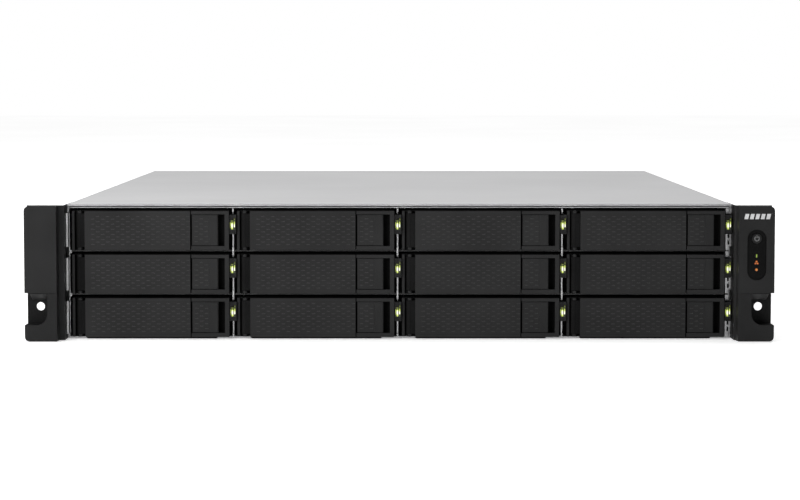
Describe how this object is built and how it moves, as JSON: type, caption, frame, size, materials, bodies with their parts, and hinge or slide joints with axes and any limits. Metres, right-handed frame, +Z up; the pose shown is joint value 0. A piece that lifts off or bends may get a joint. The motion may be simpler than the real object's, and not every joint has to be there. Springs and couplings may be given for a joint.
{
  "type": "rack-mount network attached storage",
  "caption": "Low wide steel rack chassis with a grid of hinged-lever drive trays between two moulded ears, a sliding top cover, and ports, fans and power supplies at the back.",
  "frame": {"origin": "bottom centre of the box around the whole unit, ears and rear handles included", "axes": "+X to the right seen from the front, +Y towards the rear panel, +Z up"},
  "size_m": [0.482, 0.595, 0.0878],
  "materials": {
    "galvanised_steel": "galvanised, satin",
    "cover_steel": "smooth satin grey",
    "black_steel": "black powder coat",
    "ear_plastic": "fine moulded grain",
    "button_plastic": "semi gloss",
    "tray_plastic": "fine moulded grain",
    "black_plastic": "smooth moulding",
    "drive_metal": "cast and stamped, satin",
    "circuit_board": "solder mask",
    "heatsink_metal": "milled",
    "socket_metal": "nickel plated",
    "screw_metal": "zinc plated",
    "catch_plastic": "coloured catch",
    "light_pipe": "clear, lit from behind"
  },
  "bodies": {
    "chassis": {"chassis_base": "galvanised_steel", "rear_panel": "galvanised_steel", "drive_cage": "galvanised_steel", "cage_top": "galvanised_steel", "ear_brackets": "black_steel", "left_ear_cover": "ear_plastic", "right_ear_cover": "ear_plastic", "front_panel_board": "circuit_board", "backplane": "circuit_board", "fan_frames": "black_plastic", "motherboard": "circuit_board", "cpu_heatsink": "heatsink_metal", "rear_ports": "socket_metal", "case_screws": "screw_metal"},
    "cover": {"top_cover": "cover_steel", "cover_screws": "screw_metal"},
    "power_button": {"power_button": "button_plastic"},
    "power_supply_1": {"power_supply_1": "socket_metal"},
    "power_supply_2": {"power_supply_2": "socket_metal"},
    "psu_latch_1": {"psu_latch_1": "catch_plastic"},
    "psu_latch_2": {"psu_latch_2": "catch_plastic"},
    "fan_rotor_1": {"fan_rotor_1": "black_plastic"},
    "fan_rotor_2": {"fan_rotor_2": "black_plastic"},
    "fan_rotor_3": {"fan_rotor_3": "black_plastic"},
    "tray_1": {"tray_1": "drive_metal"},
    "tray_2": {"tray_2": "drive_metal"},
    "tray_3": {"tray_3": "drive_metal"},
    "tray_4": {"tray_4": "drive_metal"},
    "tray_5": {"tray_5": "drive_metal"},
    "tray_6": {"tray_6": "drive_metal"},
    "tray_7": {"tray_7": "drive_metal"},
    "tray_8": {"tray_8": "drive_metal"},
    "tray_9": {"tray_9": "drive_metal"},
    "tray_10": {"tray_10": "drive_metal"},
    "tray_11": {"tray_11": "drive_metal"},
    "tray_12": {"tray_12": "drive_metal"},
    "tray_lever_1": {"tray_lever_1": "tray_plastic"},
    "tray_lever_2": {"tray_lever_2": "tray_plastic"},
    "tray_lever_3": {"tray_lever_3": "tray_plastic"},
    "tray_lever_4": {"tray_lever_4": "tray_plastic"},
    "tray_lever_5": {"tray_lever_5": "tray_plastic"},
    "tray_lever_6": {"tray_lever_6": "tray_plastic"},
    "tray_lever_7": {"tray_lever_7": "tray_plastic"},
    "tray_lever_8": {"tray_lever_8": "tray_plastic"},
    "tray_lever_9": {"tray_lever_9": "tray_plastic"},
    "tray_lever_10": {"tray_lever_10": "tray_plastic"},
    "tray_lever_11": {"tray_lever_11": "tray_plastic"},
    "tray_lever_12": {"tray_lever_12": "tray_plastic"},
    "tray_latch_1": {"tray_latch_1": "tray_plastic"},
    "tray_latch_2": {"tray_latch_2": "tray_plastic"},
    "tray_latch_3": {"tray_latch_3": "tray_plastic"},
    "tray_latch_4": {"tray_latch_4": "tray_plastic"},
    "tray_latch_5": {"tray_latch_5": "tray_plastic"},
    "tray_latch_6": {"tray_latch_6": "tray_plastic"},
    "tray_latch_7": {"tray_latch_7": "tray_plastic"},
    "tray_latch_8": {"tray_latch_8": "tray_plastic"},
    "tray_latch_9": {"tray_latch_9": "tray_plastic"},
    "tray_latch_10": {"tray_latch_10": "tray_plastic"},
    "tray_latch_11": {"tray_latch_11": "tray_plastic"},
    "tray_latch_12": {"tray_latch_12": "tray_plastic"}
  },
  "joints": [
    {"name": "cover_slide", "type": "slide", "parent": "chassis", "child": "cover", "axis": [0, 1, 0], "range_m": [0, 0.012]},
    {"name": "power_button_press", "type": "slide", "parent": "chassis", "child": "power_button", "axis": [0, 1, 0], "range_m": [0, 0.0009], "stiffness_N_per_m": 400},
    {"name": "power_supply_1_slide", "type": "slide", "parent": "chassis", "child": "power_supply_1", "axis": [0, 1, 0], "range_m": [0, 0.19]},
    {"name": "power_supply_2_slide", "type": "slide", "parent": "chassis", "child": "power_supply_2", "axis": [0, 1, 0], "range_m": [0, 0.19]},
    {"name": "psu_latch_1_press", "type": "slide", "parent": "power_supply_1", "child": "psu_latch_1", "axis": [-1, 0, 0], "range_m": [0, 0.003], "stiffness_N_per_m": 700},
    {"name": "psu_latch_2_press", "type": "slide", "parent": "power_supply_2", "child": "psu_latch_2", "axis": [-1, 0, 0], "range_m": [0, 0.003], "stiffness_N_per_m": 700},
    {"name": "fan_1_spin", "type": "hinge", "parent": "chassis", "child": "fan_rotor_1", "pos_m": [-0.155, -0.0725, 0.0426], "axis": [0, -1, 0], "continuous": true},
    {"name": "fan_2_spin", "type": "hinge", "parent": "chassis", "child": "fan_rotor_2", "pos_m": [-0.039, -0.0725, 0.0426], "axis": [0, -1, 0], "continuous": true},
    {"name": "fan_3_spin", "type": "hinge", "parent": "chassis", "child": "fan_rotor_3", "pos_m": [0.077, -0.0725, 0.0426], "axis": [0, -1, 0], "continuous": true},
    {"name": "tray_1_slide", "type": "slide", "parent": "chassis", "child": "tray_1", "axis": [0, -1, 0], "range_m": [0, 0.17]},
    {"name": "tray_lever_1_swing", "type": "hinge", "parent": "tray_1", "child": "tray_lever_1", "pos_m": [-0.2074, -0.2787, 0.0709], "axis": [0, 0, -1], "range_deg": [0, 60]},
    {"name": "tray_latch_1_press", "type": "slide", "parent": "tray_1", "child": "tray_latch_1", "axis": [1, 0, 0], "range_m": [0, 0.003], "stiffness_N_per_m": 500},
    {"name": "tray_6_slide", "type": "slide", "parent": "chassis", "child": "tray_6", "axis": [0, -1, 0], "range_m": [0, 0.17]},
    {"name": "tray_lever_6_swing", "type": "hinge", "parent": "tray_6", "child": "tray_lever_6", "pos_m": [-0.10035, -0.2787, 0.0426], "axis": [0, 0, -1], "range_deg": [0, 60]},
    {"name": "tray_latch_6_press", "type": "slide", "parent": "tray_6", "child": "tray_latch_6", "axis": [1, 0, 0], "range_m": [0, 0.003], "stiffness_N_per_m": 500},
    {"name": "tray_11_slide", "type": "slide", "parent": "chassis", "child": "tray_11", "axis": [0, -1, 0], "range_m": [0, 0.17]},
    {"name": "tray_lever_11_swing", "type": "hinge", "parent": "tray_11", "child": "tray_lever_11", "pos_m": [0.0067, -0.2787, 0.0143], "axis": [0, 0, -1], "range_deg": [0, 60]},
    {"name": "tray_latch_11_press", "type": "slide", "parent": "tray_11", "child": "tray_latch_11", "axis": [1, 0, 0], "range_m": [0, 0.003], "stiffness_N_per_m": 500},
    {"name": "tray_4_slide", "type": "slide", "parent": "chassis", "child": "tray_4", "axis": [0, -1, 0], "range_m": [0, 0.17]},
    {"name": "tray_lever_4_swing", "type": "hinge", "parent": "tray_4", "child": "tray_lever_4", "pos_m": [0.11375, -0.2787, 0.0709], "axis": [0, 0, -1], "range_deg": [0, 60]},
    {"name": "tray_latch_4_press", "type": "slide", "parent": "tray_4", "child": "tray_latch_4", "axis": [1, 0, 0], "range_m": [0, 0.003], "stiffness_N_per_m": 500},
    {"name": "tray_2_slide", "type": "slide", "parent": "chassis", "child": "tray_2", "axis": [0, -1, 0], "range_m": [0, 0.17]},
    {"name": "tray_lever_2_swing", "type": "hinge", "parent": "tray_2", "child": "tray_lever_2", "pos_m": [-0.10035, -0.2787, 0.0709], "axis": [0, 0, -1], "range_deg": [0, 60]},
    {"name": "tray_latch_2_press", "type": "slide", "parent": "tray_2", "child": "tray_latch_2", "axis": [1, 0, 0], "range_m": [0, 0.003], "stiffness_N_per_m": 500},
    {"name": "tray_3_slide", "type": "slide", "parent": "chassis", "child": "tray_3", "axis": [0, -1, 0], "range_m": [0, 0.17]},
    {"name": "tray_lever_3_swing", "type": "hinge", "parent": "tray_3", "child": "tray_lever_3", "pos_m": [0.0067, -0.2787, 0.0709], "axis": [0, 0, -1], "range_deg": [0, 60]},
    {"name": "tray_latch_3_press", "type": "slide", "parent": "tray_3", "child": "tray_latch_3", "axis": [1, 0, 0], "range_m": [0, 0.003], "stiffness_N_per_m": 500},
    {"name": "tray_5_slide", "type": "slide", "parent": "chassis", "child": "tray_5", "axis": [0, -1, 0], "range_m": [0, 0.17]},
    {"name": "tray_lever_5_swing", "type": "hinge", "parent": "tray_5", "child": "tray_lever_5", "pos_m": [-0.2074, -0.2787, 0.0426], "axis": [0, 0, -1], "range_deg": [0, 60]},
    {"name": "tray_latch_5_press", "type": "slide", "parent": "tray_5", "child": "tray_latch_5", "axis": [1, 0, 0], "range_m": [0, 0.003], "stiffness_N_per_m": 500},
    {"name": "tray_7_slide", "type": "slide", "parent": "chassis", "child": "tray_7", "axis": [0, -1, 0], "range_m": [0, 0.17]},
    {"name": "tray_lever_7_swing", "type": "hinge", "parent": "tray_7", "child": "tray_lever_7", "pos_m": [0.0067, -0.2787, 0.0426], "axis": [0, 0, -1], "range_deg": [0, 60]},
    {"name": "tray_latch_7_press", "type": "slide", "parent": "tray_7", "child": "tray_latch_7", "axis": [1, 0, 0], "range_m": [0, 0.003], "stiffness_N_per_m": 500},
    {"name": "tray_8_slide", "type": "slide", "parent": "chassis", "child": "tray_8", "axis": [0, -1, 0], "range_m": [0, 0.17]},
    {"name": "tray_lever_8_swing", "type": "hinge", "parent": "tray_8", "child": "tray_lever_8", "pos_m": [0.11375, -0.2787, 0.0426], "axis": [0, 0, -1], "range_deg": [0, 60]},
    {"name": "tray_latch_8_press", "type": "slide", "parent": "tray_8", "child": "tray_latch_8", "axis": [1, 0, 0], "range_m": [0, 0.003], "stiffness_N_per_m": 500},
    {"name": "tray_9_slide", "type": "slide", "parent": "chassis", "child": "tray_9", "axis": [0, -1, 0], "range_m": [0, 0.17]},
    {"name": "tray_lever_9_swing", "type": "hinge", "parent": "tray_9", "child": "tray_lever_9", "pos_m": [-0.2074, -0.2787, 0.0143], "axis": [0, 0, -1], "range_deg": [0, 60]},
    {"name": "tray_latch_9_press", "type": "slide", "parent": "tray_9", "child": "tray_latch_9", "axis": [1, 0, 0], "range_m": [0, 0.003], "stiffness_N_per_m": 500},
    {"name": "tray_10_slide", "type": "slide", "parent": "chassis", "child": "tray_10", "axis": [0, -1, 0], "range_m": [0, 0.17]},
    {"name": "tray_lever_10_swing", "type": "hinge", "parent": "tray_10", "child": "tray_lever_10", "pos_m": [-0.10035, -0.2787, 0.0143], "axis": [0, 0, -1], "range_deg": [0, 60]},
    {"name": "tray_latch_10_press", "type": "slide", "parent": "tray_10", "child": "tray_latch_10", "axis": [1, 0, 0], "range_m": [0, 0.003], "stiffness_N_per_m": 500},
    {"name": "tray_12_slide", "type": "slide", "parent": "chassis", "child": "tray_12", "axis": [0, -1, 0], "range_m": [0, 0.17]},
    {"name": "tray_lever_12_swing", "type": "hinge", "parent": "tray_12", "child": "tray_lever_12", "pos_m": [0.11375, -0.2787, 0.0143], "axis": [0, 0, -1], "range_deg": [0, 60]},
    {"name": "tray_latch_12_press", "type": "slide", "parent": "tray_12", "child": "tray_latch_12", "axis": [1, 0, 0], "range_m": [0, 0.003], "stiffness_N_per_m": 500}
  ]
}
